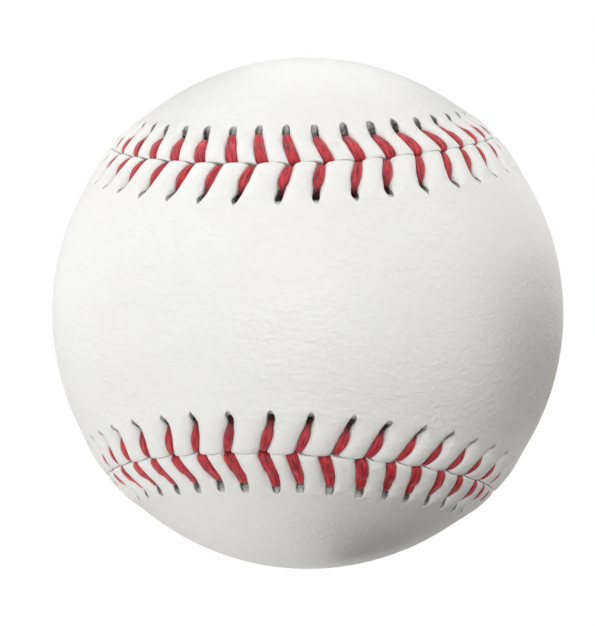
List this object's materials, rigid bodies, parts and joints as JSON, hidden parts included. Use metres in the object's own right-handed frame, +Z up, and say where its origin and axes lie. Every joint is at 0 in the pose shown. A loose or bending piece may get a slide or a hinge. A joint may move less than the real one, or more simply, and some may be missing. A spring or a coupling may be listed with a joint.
{
  "type": "soft baseball",
  "caption": "Soft ball for throwing and batting: a sponge pill wound with yarn, in a white figure-eight leather cover laced along its seam with red thread.",
  "frame": {"origin": "centre of the ball", "axes": "+Z up; the front panel's waist faces -Y and runs along X, the back panel's waist faces +Y and runs along Z"},
  "size_m": [0.0738, 0.0732, 0.0738],
  "materials": {
    "sponge": "closed-cell sponge rubber, matte",
    "grey_yarn": "wound wool-blend yarn",
    "pale_yarn": "wound wool-blend yarn",
    "cotton": "fine cotton finishing thread",
    "leather": "smooth white coated leather with a fine grain",
    "lace": "flat waxed red thread"
  },
  "bodies": {
    "root": {"sponge_pill": "sponge", "inner_winding": "grey_yarn", "outer_winding": "pale_yarn", "finishing_winding": "cotton", "front_panel": "leather", "back_panel": "leather", "first_lace": "lace", "second_lace": "lace"}
  },
  "joints": []
}
